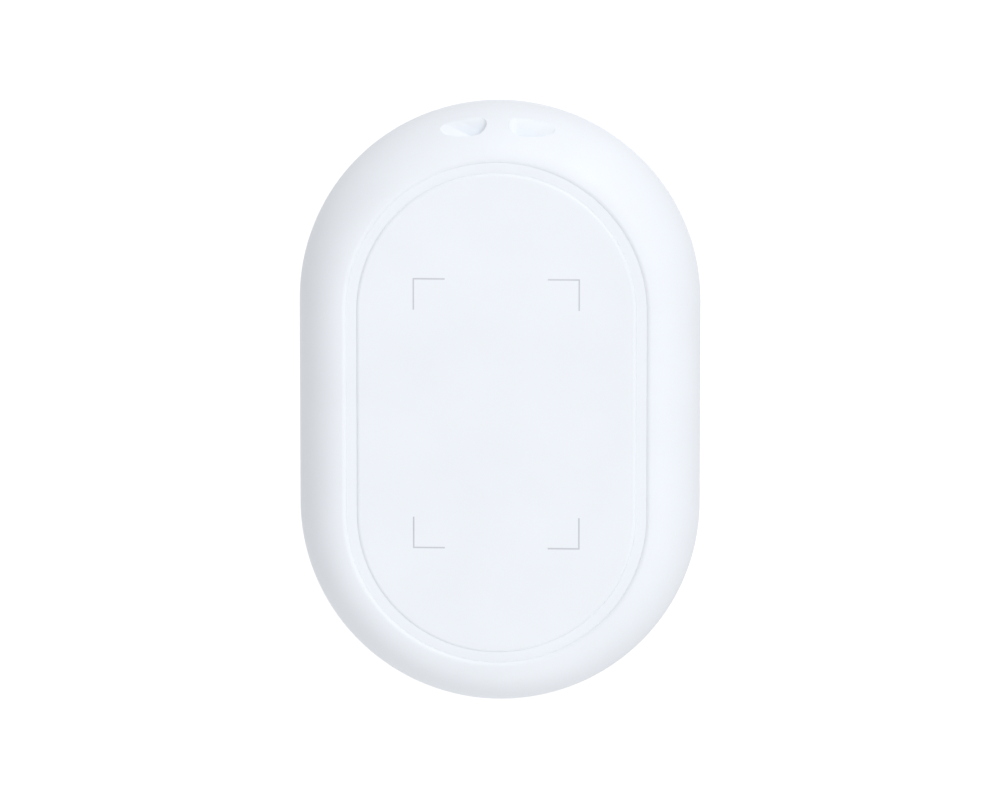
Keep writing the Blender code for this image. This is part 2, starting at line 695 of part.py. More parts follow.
def make_coin_cell():
    place = (0.0, DOOR_Y)
    edge = CELL_EDGE
    can = [
        (0, CAP_BOTTOM - SEAT_GAP),
        (CELL_RECESS, CAP_BOTTOM - SEAT_GAP),
        (CELL_RECESS, CAN_TOP),
        (CELL_RADIUS - edge, CAN_TOP),
        (CELL_RADIUS, CAN_TOP - edge),
        (CELL_RADIUS, CELL_BOTTOM + edge),
        (CELL_RADIUS - edge, CELL_BOTTOM),
        (0, CELL_BOTTOM),
    ]
    finish(turned("cell_can", can, place), "cell_steel")
    cap = [
        (0, CELL_TOP),
        (CAP_RADIUS - edge, CELL_TOP),
        (CAP_RADIUS, CELL_TOP - edge),
        (CAP_RADIUS, CAP_BOTTOM),
        (0, CAP_BOTTOM),
    ]
    finish(turned("cell_cap", cap, place), "cell_steel")
    inner = CAP_RADIUS + SEAT_GAP
    outer = CELL_RECESS - SEAT_GAP
    gasket = [(outer, CAN_TOP), (outer, CAP_BOTTOM), (inner, CAP_BOTTOM), (inner, CAN_TOP)]
    finish(turned("cell_gasket", gasket, place, ring=True), "seal_grey")


def make_battery_contacts():
    side = DOOR_Y - CELL_RADIUS - POSITIVE_THICKNESS / 2 - SEAT_GAP
    positive = [(side + y, z) for y, z in POSITIVE_PATH]
    name = "battery_contact_positive"
    finish(strip(name, positive, CONTACT_WIDTH, POSITIVE_THICKNESS), "contact_gold")
    name = "battery_contact_negative"
    finish(strip(name, NEGATIVE_PATH, CONTACT_WIDTH, NEGATIVE_THICKNESS), "contact_gold")


def make_screws():
    head_radius, head_low = SCREW_HEAD
    head_top = HOLDER_PLATE[1] - SEAT_GAP
    tip_radius, tip_top, taper = SCREW_TIP
    edge_across, edge_up = SCREW_HEAD_EDGE
    recess_radius, recess_depth = SCREW_RECESS
    profile = [
        (0, tip_top),
        (tip_radius, tip_top),
        (SCREW_SHANK_RADIUS, tip_top - taper),
        (SCREW_SHANK_RADIUS, head_top),
        (head_radius, head_top),
        (head_radius, head_low + edge_up),
        (head_radius - edge_across, head_low),
        (recess_radius, head_low),
        (0, head_low + recess_depth),
    ]
    for index, (across, along) in enumerate(SCREW_PLACES):
        place = screw_place(across, along)
        screw = turned(f"screw_{index + 1}", profile, place, SMALL_TURN_STEPS)
        finish(screw, "screw_steel")


# Circuit board


def make_circuit_board():
    sections = [(BOARD_RADIUS, BOARD_BOTTOM), (BOARD_RADIUS, BOARD_TOP)]
    board = stadium_loft("circuit_board", sections)
    for index, peg in enumerate(PEG_PLACES):
        radius = PEG_RADIUS + SEAM_GAP
        hole = cylinder(f"peg_hole_{index}", radius, BOARD_BOTTOM - CLEAR, BOARD_TOP + CLEAR, peg)
        cut(board, hole)
    finish(board, "board_green")


def make_board_parts():
    low = BOARD_TOP + SEAT_GAP
    for name, (x, y, across, along, height, material) in BOARD_PARTS.items():
        centre = (x * MM, y * MM, low + height * MM / 2)
        finish(box(name, (across * MM, along * MM, height * MM), centre), material)


def make_shield_can():
    width, length, height = SHIELD_SIZE
    low = BOARD_TOP + SEAT_GAP
    can = box("shield_can", SHIELD_SIZE, (*SHIELD_CENTRE, low + height / 2))
    inside = (width - 2 * SHIELD_WALL, length - 2 * SHIELD_WALL, height)
    centre = (*SHIELD_CENTRE, low + height / 2 - SHIELD_WALL)
    cut(can, box("shield_inside", inside, centre))
    finish(can, "shield_tin")


def make_switch():
    low = BOARD_TOP + SEAT_GAP
    side = SWITCH_SIDE
    housing = box("switch_housing", (side, side, SWITCH_TOP - low), (0, 0, (low + SWITCH_TOP) / 2))
    cut(housing, cylinder("switch_well", *SWITCH_WELL, SWITCH_TOP + CLEAR))
    finish(housing, "chip_black")
    cover_low, cover_high = COVER_LEVELS
    size = (side, side, cover_high - cover_low)
    cover = box("switch_cover", size, (0, 0, (cover_low + cover_high) / 2))
    hole_radius = PLUNGER_STEM[0] + SEAM_GAP
    cut(cover, cylinder("cover_hole", hole_radius, cover_low - CLEAR, cover_high + CLEAR))
    finish(cover, "shield_tin")
    flange_radius, flange_low, flange_top = PLUNGER_FLANGE
    stem_radius, stem_top = PLUNGER_STEM
    plunger = [
        (0, stem_top),
        (stem_radius, stem_top),
        (stem_radius, flange_top),
        (flange_radius, flange_top),
        (flange_radius, flange_low),
        (0, flange_low),
    ]
    finish(turned("switch_plunger", plunger, steps=SMALL_TURN_STEPS), "holder_grey")
    radius, foot, rise, thickness = DOME
    steps = 4
    upper = []
    lower = []
    for step in range(steps + 1):
        share = step / steps
        height = foot + rise * (1 - share**2)
        upper.append((radius * share, height))
        lower.append((radius * share, height - thickness))
    finish(turned("switch_dome", upper + lower[::-1], steps=SMALL_TURN_STEPS), "contact_gold")


# Sounder


def make_sounder():
    place = (0.0, SOUNDER_Y)
    inner, outer, low, high = ADHESIVE
    ring = [(outer, high), (outer, low), (inner, low), (inner, high)]
    finish(turned("buzzer_adhesive", ring, place, ring=True), "adhesive")
    radius, low, high = DISC
    finish(cylinder("buzzer_disc", radius, low, high, place, TURN_STEPS), "disc_brass")
    radius, low, high = CERAMIC
    finish(cylinder("buzzer_ceramic", radius, low, high, place, TURN_STEPS), "piezo_ceramic")
    for name, (x, bottom) in SPRINGS.items():
        count = round(SPRING_TURNS * WIRE_STEPS)
        points = []
        for step in range(count + 1):
            angle = 2 * math.pi * step / WIRE_STEPS
            height = bottom + (SPRING_TOP - bottom) * step / count
            px = x + SPRING_COIL_RADIUS * math.cos(angle)
            points.append((px, SOUNDER_Y + SPRING_COIL_RADIUS * math.sin(angle), height))
        finish(wire(name, points, SPRING_WIRE_RADIUS, 2), "contact_gold")


clear_scene()
parts = new_collection("tracker_tag")
cutters = new_collection("cutters")
materials = {name: new_material(name) for name in MATERIALS}
make_front_shell()
make_face_seal()
make_face_panel()
make_rear_cover()
make_shell_gasket()
make_battery_door()
make_door_seal()
make_battery_holder()
make_coin_cell()
make_battery_contacts()
make_screws()
make_circuit_board()
make_board_parts()
make_shield_can()
make_switch()
make_sounder()
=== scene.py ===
"""The looks of a stadium-shaped tracker tag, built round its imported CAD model."""

import math

import bmesh
import bpy
import numpy as np
from mathutils import Matrix, Vector


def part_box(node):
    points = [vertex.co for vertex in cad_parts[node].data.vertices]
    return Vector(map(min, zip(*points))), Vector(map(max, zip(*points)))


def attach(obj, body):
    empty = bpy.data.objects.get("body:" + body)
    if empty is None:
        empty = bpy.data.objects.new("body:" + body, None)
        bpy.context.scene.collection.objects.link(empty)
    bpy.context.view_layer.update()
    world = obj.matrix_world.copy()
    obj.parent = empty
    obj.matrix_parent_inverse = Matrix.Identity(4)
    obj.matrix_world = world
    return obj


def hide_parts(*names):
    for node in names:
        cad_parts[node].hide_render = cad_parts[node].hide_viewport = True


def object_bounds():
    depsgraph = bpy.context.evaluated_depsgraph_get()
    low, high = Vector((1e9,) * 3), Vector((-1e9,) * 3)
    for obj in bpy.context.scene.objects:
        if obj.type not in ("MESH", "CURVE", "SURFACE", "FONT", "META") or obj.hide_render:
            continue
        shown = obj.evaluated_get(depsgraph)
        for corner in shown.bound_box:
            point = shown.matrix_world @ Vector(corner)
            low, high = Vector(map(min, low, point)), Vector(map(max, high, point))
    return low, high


MM = 0.001

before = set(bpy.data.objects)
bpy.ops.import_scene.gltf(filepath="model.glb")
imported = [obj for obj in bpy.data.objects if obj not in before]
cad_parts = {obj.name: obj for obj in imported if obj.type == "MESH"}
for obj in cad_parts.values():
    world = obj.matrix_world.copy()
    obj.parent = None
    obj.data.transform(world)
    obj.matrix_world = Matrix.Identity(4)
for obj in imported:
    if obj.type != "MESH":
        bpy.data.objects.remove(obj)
cad_low, cad_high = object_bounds()

# Driving dimensions, read from the frame
BODY_RADIUS = cad_high.x
END_Y = cad_high.y - BODY_RADIUS  # centre of the round end that holds the strap
FACE_TOP = cad_high.z
SEAM_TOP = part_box("front_shell")[0].z
SEAM_LOW = SEAM_TOP - 0.1 * MM
SEAL_LOW, SEAL_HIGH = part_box("face_seal")
PANEL_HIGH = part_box("face_panel")[1]
DOOR_LOW, DOOR_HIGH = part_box("battery_door")
DOOR_AXIS = (0.0, (DOOR_LOW.y + DOOR_HIGH.y) / 2)

STEP_RADIUS = SEAL_HIGH.x + 0.05 * MM
PANEL_RADIUS = PANEL_HIGH.y - END_Y
CAVITY_RADIUS = 15.3 * MM
CEILING = 7.5 * MM
LEDGE_RADIUS = 12.98 * MM
LEDGE_TOP = SEAL_LOW.z - 0.05 * MM
STRAP_BLOCK_Y = 21.9 * MM
STRAP_BLOCK_Z = 3.1 * MM
STEP_WIDTH = 0.4 * MM  # across the rounded edge where the rim steps down to the seal
STEP_SOFTNESS = 0.18 * MM  # how far out that edge's curve is drawn
PANEL_RIM = (11.6 * MM, 6.8 * MM)  # inner radius and lower end of the panel's skirt
PANEL_ROUND = 0.3 * MM
PANEL_SOFTNESS = 0.13 * MM
PANEL_FLAT = 1.0 * MM  # inwards from the panel's edge, where its flat top is closed
SEAL_TOUCH = 0.004 * MM  # keeps the seal's sides apart from its neighbours' sides
SEAM_ROUND = 0.14 * MM
OVERLAP = 0.2 * MM  # how far shapes that are joined run into each other
CLEAR = 1.0 * MM  # how far a cutter reaches past what it cuts
BACK_EDGE = 1.6 * MM
PRINT_DEPTH = 0.006 * MM  # thickness of the printed corner marks
PRINT_SINK = 0.004 * MM  # how far they run into the panel
MARK_WIDTH = 0.13 * MM
MARK_ROUND = 0.035 * MM
MARK_ARM = 2.8 * MM
MARK_CORNER = (7.4 * MM, 12.2 * MM)  # the four marks frame the middle of the face evenly

# Strap scoops, in millimetres across from the post's middle and up the rim's curve
SCOOP_MIDDLE = math.radians(47)  # place down the rim that the scoop's heights are measured from
SCOOP_LOW, SCOOP_HIGH = -1.2, 1.07
SCOOP_NEAR, SCOOP_WIDEST, SCOOP_TIP = 0.95, 2.0, 5.15
SCOOP_TIP_ROUND = 0.45
SCOOP_END_ROUND = 0.85  # where the round end meets the straight lower edge
SCOOP_END_LEVEL = -0.25  # height of the round end's middle
SCOOP_CENTRE = (2.6, -0.1)  # the point that the cutter's rings shrink towards
SCOOP_ABOVE = 0.6  # how far the cutter stands out of the rim
SCOOP_FLOOR_SLOPE = 1.0  # depth gained up the rim
SCOOP_RAMP = (0.368, 0.3)  # depth gained towards the post, and up the rim
SCOOP_RAMP_START = 4.8
SCOOP_DEEPEST = 1.5
SCOOP_CREASES = {-1: 0.06, 1: 0.3}  # how wide the line between floor and ramp is, by side
SCOOP_FILLETS = (1.05, 0.12)  # at the post, and towards the tip
SCOOP_FILLET_CHANGE = (1.6, 3.2)  # across, where the first gives way to the second
SCOOP_FILLET_SHARE = 0.95  # part of the depth that the fillet takes up
SCOOP_FILLET_POWER = 0.68  # its section: half would be a circle, one a parabola
PASSAGE_RADIUS = 0.42 * MM
PASSAGE_BEND = 2.05 * MM
PASSAGE_Z = 7.05 * MM
PASSAGE_BEND_Y = 24.75 * MM
PASSAGE_END = math.radians(10)

# Rear cover and battery door
COVER_FLOOR = 1.2 * MM
SKIRT = (14.5 * MM, 15.2 * MM, 3.0 * MM)  # inner radius, outer radius, top
DOOR_PAD = (14.2 * MM, 1.7 * MM)  # radius and top of the thicker ring round the door
DOOR_SEAT = (13.1 * MM, 1.15 * MM)  # radius and top
DOOR_HOLE_RADIUS = 11.7 * MM
DOOR_DECK = 1.1 * MM
DOOR_NECK = (10.9 * MM, 11.6 * MM, 2.35 * MM)  # inner radius, outer radius, top
DOOR_GROOVE = (12.5 * MM, 0.35 * MM, 0.85 * MM)  # floor radius, lower side, upper side
LUG_COUNT = 3
LUG_SIZE = (4.6 * MM, 1.2 * MM, 0.5 * MM)
LUG_CENTRE = (11.9 * MM, 2.05 * MM)  # from the door's axis, and height
LUG_NOTCH = (6.4 * MM, 1.9 * MM, 2.0 * MM)
LUG_NOTCH_CENTRE = 11.75 * MM
DOOR_TURN = math.radians(30)
STOP_RADIUS = 0.35 * MM
STOP_ORBIT = 12.45 * MM
STOP_ANGLES = (math.radians(-15), math.radians(45))  # beside a locked and a free lug
COIN_SLOT = (13.0 * MM, 1.7 * MM, 0.55 * MM)
COIN_SLOT_ROUND = 0.6 * MM
COIN_SLOT_MOUTH = 0.12 * MM
NECK_ROUND = 0.15 * MM
LUG_ROUND = 0.2 * MM
DOOR_ROUND = 0.18 * MM
SEAT_FLARE = 0.15 * MM

# Smoothness
END_STEPS = 96
STRAIGHT_STEPS = 12
SCOOP_STEPS = 140
SCOOP_RINGS = 44
SCOOP_RING_POWER = 0.8  # below one, the rings crowd towards the scoop's edge
SCOOP_EDGE_STEPS = 40
RIM_FINE = (math.radians(70), math.radians(20))  # the stretch down the rim that the scoops take
RIM_STEPS = (10, 40)  # outside that stretch and in it
RIM_SEARCH = (5, 85, 321)  # degrees down the rim where scoop points are looked for
SCOOP_REACH = math.radians(24)  # the finely divided stretch each side of the post
PASSAGE_STEPS = 40
ROUND_STEPS = 8
BACK_EDGE_STEPS = 16
TURN_STEPS = 160
SMALL_TURN_STEPS = 32
SHARP = math.radians(38)

# Moulded plastics and ceramics: colour, roughness, grain scale, grain depth, spread of the colour
WHITE = (0.82, 0.855, 0.905)
MOULDED = {
    "shell_white": (WHITE, 0.55, 5200, 0.004 * MM, 0.012),
    "panel_white": (WHITE, 0.55, 5200, 0.003 * MM, 0.012),
    "seal_white": (WHITE, 0.62, 3200, 0.004 * MM, 0.012),
    "seal_grey": ((0.06, 0.06, 0.065), 0.6, 2600, 0.008 * MM, 0.012),
    "print_grey": ((0.55, 0.56, 0.61), 0.55, 6000, 0.001 * MM, 0.1),
    "chip_black": ((0.022, 0.022, 0.024), 0.55, 6000, 0.006 * MM, 0.15),
    "frame_grey": ((0.25, 0.26, 0.27), 0.5, 4000, 0.006 * MM, 0.05),
    "antenna_ceramic": ((0.55, 0.62, 0.66), 0.35, 5000, 0.003 * MM, 0.04),
    "capacitor_tan": ((0.42, 0.28, 0.16), 0.4, 5000, 0.004 * MM, 0.08),
    "piezo_ceramic": ((0.8, 0.78, 0.7), 0.6, 4500, 0.004 * MM, 0.03),
    "adhesive": ((0.7, 0.68, 0.6), 0.7, 1500, 0.01 * MM, 0.05),
}

CLOUD_SCALE = 120
GLOSS_SCALE = 900
GLOSS_SPREAD = 0.05
PLASTIC_IOR = 1.46

# Metals: colour, roughness, grain scale, grain depth
METALS = {
    "cell_steel": ((0.62, 0.62, 0.61), 0.3, 3000, 0.004 * MM),
    "shield_tin": ((0.72, 0.72, 0.7), 0.38, 2500, 0.005 * MM),
    "contact_gold": ((0.83, 0.6, 0.25), 0.28, 3500, 0.003 * MM),
    "disc_brass": ((0.75, 0.56, 0.27), 0.33, 2800, 0.004 * MM),
    "screw_steel": ((0.5, 0.51, 0.53), 0.32, 2600, 0.006 * MM),
}

WEAR_SCALE = 400
WORN = 0.88  # brightness of the worn patches
METAL_GLOSS_SCALE = 1500
METAL_GLOSS_SPREAD = 0.06

# The carried-over CAD nodes that each material goes on
PAINTED = {
    "shell_white": ("switch_plunger",),
    "seal_grey": ("shell_gasket", "door_seal", "cell_gasket"),
    "frame_grey": ("battery_holder",),
    "cell_steel": ("cell_can", "cell_cap"),
    "contact_gold": (
        "battery_contact_positive",
        "battery_contact_negative",
        "switch_dome",
        "buzzer_spring_1",
        "buzzer_spring_2",
    ),
    "screw_steel": ("screw_1", "screw_2", "screw_3", "screw_4"),
    "board_green": ("circuit_board",),
    "chip_black": ("radio_chip", "inductor", "resistor_1", "resistor_2", "switch_housing"),
    "antenna_ceramic": ("chip_antenna",),
    "shield_tin": ("crystal_main", "crystal_clock", "shield_can", "switch_cover"),
    "capacitor_tan": ("capacitor_1", "capacitor_2", "capacitor_3", "capacitor_4"),
    "adhesive": ("buzzer_adhesive",),
    "disc_brass": ("buzzer_disc",),
    "piezo_ceramic": ("buzzer_ceramic",),
}

# Softened edges of carried-over CAD nodes: the least angle between faces, then widths
SOFTENED_ANGLE = math.radians(40)
SOFTENED = (
    (0.08 * MM, ("cell_can", "cell_cap", "battery_holder")),
    (0.06 * MM, ("shield_can", "crystal_main", "crystal_clock", "inductor", "radio_chip")),
    (0.04 * MM, ("chip_antenna", "switch_housing", "capacitor_1", "capacitor_2")),
    (0.04 * MM, ("capacitor_3", "capacitor_4", "resistor_1", "resistor_2")),
)

# Circuit board: colour between the tracks and on them, scales of the pattern, height
BOARD_COLOURS = ((0.012, 0.105, 0.042), (0.018, 0.14, 0.055))
TRACK_SCALE = 420
TRACK_EDGE = (0.45, 0.6)
PATCH_SCALE = 260
PATCH_EDGE = (0.49, 0.51)  # sharp, so that a patch's tracks run one way or the other
TRACK_HEIGHT = 0.012 * MM
BOARD_GLOSS_SCALE = 1200
BOARD_GLOSS = (0.24, 0.34)

# Stage
FLOOR_HALF = 12.0  # metres
FLOOR_GLOW = 0.95
FLOOR_GREY = 0.12
FLOOR_ROUGHNESS = (0.85, 0.95)
FLOOR_GRAIN = 40
ROOM_BELOW, ROOM_ABOVE = 0.87, 0.63  # brightness of the room below and above the horizon
ROOM_CHANGE = 0.15  # sine of the elevation at which each is reached
KEY_LIGHT = ((0.42, 0.58, 0.96), 0.6, 7.05)  # place, side, power
FILL_LIGHT = ((0.0, -1.15, 0.4), 0.6, 2.6)
LENS = 340
CAMERA_DISTANCE = 0.85
CAMERA_CLIP = (0.01, 20)
VIEW_TILT = (math.radians(2.75), math.radians(10.4))  # to the right, and to the strap end


# Outlines and lofts


def end_angles(fine):
    """Angles round the strap end, from +X to -X, closely spaced about +Y when fine."""
    if not fine:
        return [math.pi * step / END_STEPS for step in range(END_STEPS + 1)]
    side = END_STEPS // 3
    start = math.pi / 2 - SCOOP_REACH
    angles = [start * step / side for step in range(side)]
    span = 2 * SCOOP_REACH
    angles += [start + span * step / SCOOP_STEPS for step in range(SCOOP_STEPS)]
    end = math.pi / 2 + SCOOP_REACH
    angles += [end + start * step / side for step in range(side + 1)]
    return angles


def outline(fine=False):
    """(centre y, direction x, direction y) for each point round a stadium."""
    points = [(END_Y, math.cos(a), math.sin(a)) for a in end_angles(fine)]
    for step in range(1, STRAIGHT_STEPS):
        points.append((END_Y - 2 * END_Y * step / STRAIGHT_STEPS, -1.0, 0.0))
    points += [(-END_Y, -math.cos(a), -math.sin(a)) for a in end_angles(False)]
    for step in range(1, STRAIGHT_STEPS):
        points.append((-END_Y + 2 * END_Y * step / STRAIGHT_STEPS, 1.0, 0.0))
    return points


def bend(start, corner, end, steps=ROUND_STEPS):
    """Points along a curve from start to end that is drawn to the corner."""
    start, corner, end = Vector(start), Vector(corner), Vector(end)
    points = []
    for step in range(steps + 1):
        t = step / steps
        points.append(tuple(start * (1 - t) ** 2 + corner * 2 * t * (1 - t) + end * t**2))
    return points


def rounded(corner, before, after, radius):
    """Points that round this corner of a profile with an arc of about this radius."""
    corner = Vector(corner)
    start = corner + (Vector(before) - corner).normalized() * radius
    end = corner + (Vector(after) - corner).normalized() * radius
    return bend(start, corner, end)


def mesh_object(name, bm):
    bmesh.ops.recalc_face_normals(bm, faces=bm.faces)
    mesh = bpy.data.meshes.new(name)
    bm.to_mesh(mesh)
    bm.free()
    obj = bpy.data.objects.new(name, mesh)
    bpy.context.scene.collection.objects.link(obj)
    smooth(obj)
    return obj


def smooth(obj):
    obj.data.shade_smooth()
    obj.data.set_sharp_from_angle(angle=SHARP)


def loft(name, profile, ring=False, fine=False):
    """Sweeps a (radius, height) profile round the stadium."""
    around = outline(fine)
    count = len(around)
    points = [(r * dx, cy + r * dy, z) for r, z in profile for cy, dx, dy in around]
    bm = bmesh.new()
    verts = [bm.verts.new(point) for point in points]
    rows = [verts[start : start + count] for start in range(0, len(verts), count)]
    pairs = list(zip(rows, rows[1:]))
    if ring:
        pairs.append((rows[-1], rows[0]))
    else:
        bm.faces.new(rows[0])
        bm.faces.new(rows[-1])
    for first, second in pairs:
        for index in range(count):
            bm.faces.new((first[index - 1], first[index], second[index], second[index - 1]))
    return mesh_object(name, bm)


def turned(name, profile, place, steps=TURN_STEPS):
    """A (radius, height) profile, from axis to axis, turned about an upright through place."""
    bm = bmesh.new()
    rows = []
    for radius, height in profile:
        if radius == 0:
            rows.append([bm.verts.new((*place, height))])
            continue
        row = []
        for step in range(steps):
            angle = 2 * math.pi * step / steps
            x = place[0] + radius * math.cos(angle)
            row.append(bm.verts.new((x, place[1] + radius * math.sin(angle), height)))
        rows.append(row)
    for first, second in zip(rows, rows[1:]):
        for index in range(steps):
            if len(first) == 1:
                bm.faces.new((first[0], second[index], second[index - 1]))
            elif len(second) == 1:
                bm.faces.new((first[index - 1], first[index], second[0]))
            else:
                bm.faces.new((first[index - 1], first[index], second[index], second[index - 1]))
    return mesh_object(name, bm)


def tube(name, points, radius, sides=32):
    """A round bar through points that lie in one level plane."""
    bm = bmesh.new()
    rows = []
    for index, point in enumerate(points):
        ahead = Vector(points[min(index + 1, len(points) - 1)])
        along = (ahead - Vector(points[max(index - 1, 0)])).normalized()
        level = along.cross(Vector((0, 0, 1)))
        row = []
        for step in range(sides):
            angle = 2 * math.pi * step / sides
            shift = level * math.cos(angle) + Vector((0, 0, 1)) * math.sin(angle)
            row.append(bm.verts.new(Vector(point) + shift * radius))
        rows.append(row)
    bm.faces.new(rows[0])
    bm.faces.new(rows[-1])
    for first, second in zip(rows, rows[1:]):
        for index in range(sides):
            bm.faces.new((first[index - 1], first[index], second[index], second[index - 1]))
    return mesh_object(name, bm)


def block(name, size, centre, turn=0.0, edge=0.0):
    bm = bmesh.new()
    bmesh.ops.create_cube(bm, size=1.0)
    bmesh.ops.scale(bm, vec=size, verts=bm.verts)
    if edge:
        upright = [e for e in bm.edges if abs(e.verts[0].co.z - e.verts[1].co.z) > edge]
        bmesh.ops.bevel(bm, geom=upright, offset=edge, segments=ROUND_STEPS, affect="EDGES", profile=0.5)
    obj = mesh_object(name, bm)
    obj.rotation_euler.z = turn
    obj.location = centre
    return obj


def combine(obj, others, operation):
    """Applies a Boolean with each of the others, which are then removed."""
    for other in others:
        modifier = obj.modifiers.new("boolean", "BOOLEAN")
        modifier.operation = operation
        modifier.object = other
    graph = bpy.context.evaluated_depsgraph_get()
    mesh = bpy.data.meshes.new_from_object(obj.evaluated_get(graph))
    obj.modifiers.clear()
    obj.data = mesh
    for other in others:
        bpy.data.objects.remove(other, do_unlink=True)
    smooth(obj)


# Front shell


def rim_point(angle):
    radius = STEP_RADIUS + (BODY_RADIUS - STEP_RADIUS) * math.cos(angle)
    return radius, SEAM_TOP + (FACE_TOP - SEAM_TOP) * math.sin(angle)


def rim_normal(angle):
    out = math.cos(angle) / (BODY_RADIUS - STEP_RADIUS)
    up = math.sin(angle) / (FACE_TOP - SEAM_TOP)
    length = math.hypot(out, up)
    return out / length, up / length


def rim_angles():
    """Places down the rim from the step to the seam, closer together across the scoops."""
    top = math.acos(STEP_WIDTH / (BODY_RADIUS - STEP_RADIUS))
    fine_top, fine_low = RIM_FINE
    coarse, fine = RIM_STEPS
    angles = [top + (fine_top - top) * step / coarse for step in range(coarse)]
    angles += [fine_top + (fine_low - fine_top) * step / fine for step in range(fine)]
    angles += [fine_low * (1 - step / coarse) for step in range(coarse)]
    return angles


def rim_climb():
    """Angles down the rim, and how far up its curve from the scoop's middle each one is."""
    angles = np.radians(np.linspace(*RIM_SEARCH))
    out = STEP_RADIUS + (BODY_RADIUS - STEP_RADIUS) * np.cos(angles)
    up = SEAM_TOP + (FACE_TOP - SEAM_TOP) * np.sin(angles)
    steps = np.hypot(np.diff(out), np.diff(up))
    climb = np.concatenate([[0], np.cumsum(steps)]) / MM
    return angles, climb - np.interp(SCOOP_MIDDLE, angles, climb)


def arc(centre, across, along, start, end, steps):
    """Part of an ellipse, without its last point."""
    points = []
    for step in range(steps):
        angle = math.radians(start + (end - start) * step / steps)
        points.append((centre[0] + across * math.cos(angle), centre[1] + along * math.sin(angle)))
    return points


def scoop_outline(steps):
    """The scoop's edge: a long curve to the tip above, a straight edge below, a round end."""
    tip_level = SCOOP_LOW + SCOOP_TIP_ROUND
    long_half = SCOOP_TIP - SCOOP_WIDEST
    short_half = SCOOP_WIDEST - SCOOP_NEAR
    points = arc((SCOOP_WIDEST, tip_level), long_half, SCOOP_HIGH - tip_level, 0, 90, 2 * steps)
    end_centre = (SCOOP_WIDEST, SCOOP_END_LEVEL)
    points += arc(end_centre, short_half, SCOOP_HIGH - SCOOP_END_LEVEL, 90, 180, steps)
    low_centre = (SCOOP_NEAR + SCOOP_END_ROUND, SCOOP_END_LEVEL)
    points += arc(low_centre, SCOOP_END_ROUND, SCOOP_END_LEVEL - SCOOP_LOW, 180, 270, steps)
    tip_centre = (SCOOP_TIP - SCOOP_TIP_ROUND, tip_level)
    straight = tip_centre[0] - low_centre[0]
    points += [(low_centre[0] + straight * step / steps, SCOOP_LOW) for step in range(steps)]
    points += arc(tip_centre, SCOOP_TIP_ROUND, SCOOP_TIP_ROUND, 270, 360, steps // 2)
    return np.array(points)


def scoop_depths(points, edge, crease):
    """How deep the scoop is at each (across, up) point: a floor and a ramp, with a fillet."""
    across, up = points.T
    floor = SCOOP_FLOOR_SLOPE * (up - SCOOP_LOW)
    ramp = SCOOP_RAMP[0] * (SCOOP_RAMP_START - across) + SCOOP_RAMP[1] * (up - SCOOP_LOW)
    blend = np.maximum(crease - np.abs(floor - ramp), 0) / crease
    depth = np.maximum(np.minimum(floor, ramp) - blend**2 * crease / 4, 0)
    depth = np.minimum(depth, SCOOP_DEEPEST)
    fillet = np.interp(across, SCOOP_FILLET_CHANGE, SCOOP_FILLETS)
    inside = np.linalg.norm(points[:, None, :] - edge[None], axis=2).min(axis=1)
    short = np.clip(1 - inside / fillet, 0, 1)
    return depth * (1 - SCOOP_FILLET_SHARE * (1 - (1 - short**2) ** SCOOP_FILLET_POWER))


def scoop_cutter(side):
    """A closed body that cuts one scoop, mirrored by side."""
    edge = scoop_outline(SCOOP_EDGE_STEPS)
    middle = np.array([SCOOP_CENTRE])
    shares = [(1 - step / SCOOP_RINGS) ** SCOOP_RING_POWER for step in range(SCOOP_RINGS)]
    flat = [middle + (edge - middle) * share for share in shares]
    crease = SCOOP_CREASES[side]
    depths = [scoop_depths(ring, edge, crease) for ring in flat]
    layers = [(flat[0], np.full(len(edge), -SCOOP_ABOVE))] + list(zip(flat, depths))
    angles, climb = rim_climb()
    bm = bmesh.new()
    rows = []
    for ring, depth in layers + [(middle, scoop_depths(middle, edge, crease))]:
        row = []
        for (across, up), deep in zip(ring, depth):
            angle = float(np.interp(up, climb, angles))
            reach, height = rim_point(angle)
            out, rise = rim_normal(angle)
            turn = math.asin(across * MM / reach)
            reach -= out * deep * MM
            x, y = reach * math.sin(turn), END_Y + reach * math.cos(turn)
            row.append(bm.verts.new((side * x, y, height - rise * deep * MM)))
        rows.append(row)
    bm.faces.new(rows[0])
    for first, second in zip(rows, rows[1:]):
        for index in range(len(first)):
            if len(second) == 1:
                bm.faces.new((first[index - 1], first[index], second[0]))
            else:
                bm.faces.new((first[index - 1], first[index], second[index], second[index - 1]))
    return mesh_object("scoop", bm)


def cord_passage():
    """A curved passage from one scoop to the other, behind the post."""
    start, sweep = math.pi + PASSAGE_END, math.pi - 2 * PASSAGE_END
    points = []
    for step in range(PASSAGE_STEPS + 1):
        angle = start + sweep * step / PASSAGE_STEPS
        y = PASSAGE_BEND_Y + PASSAGE_BEND * math.sin(angle)
        points.append((PASSAGE_BEND * math.cos(angle), y, PASSAGE_Z))
    return tube("cord_passage", points, PASSAGE_RADIUS)


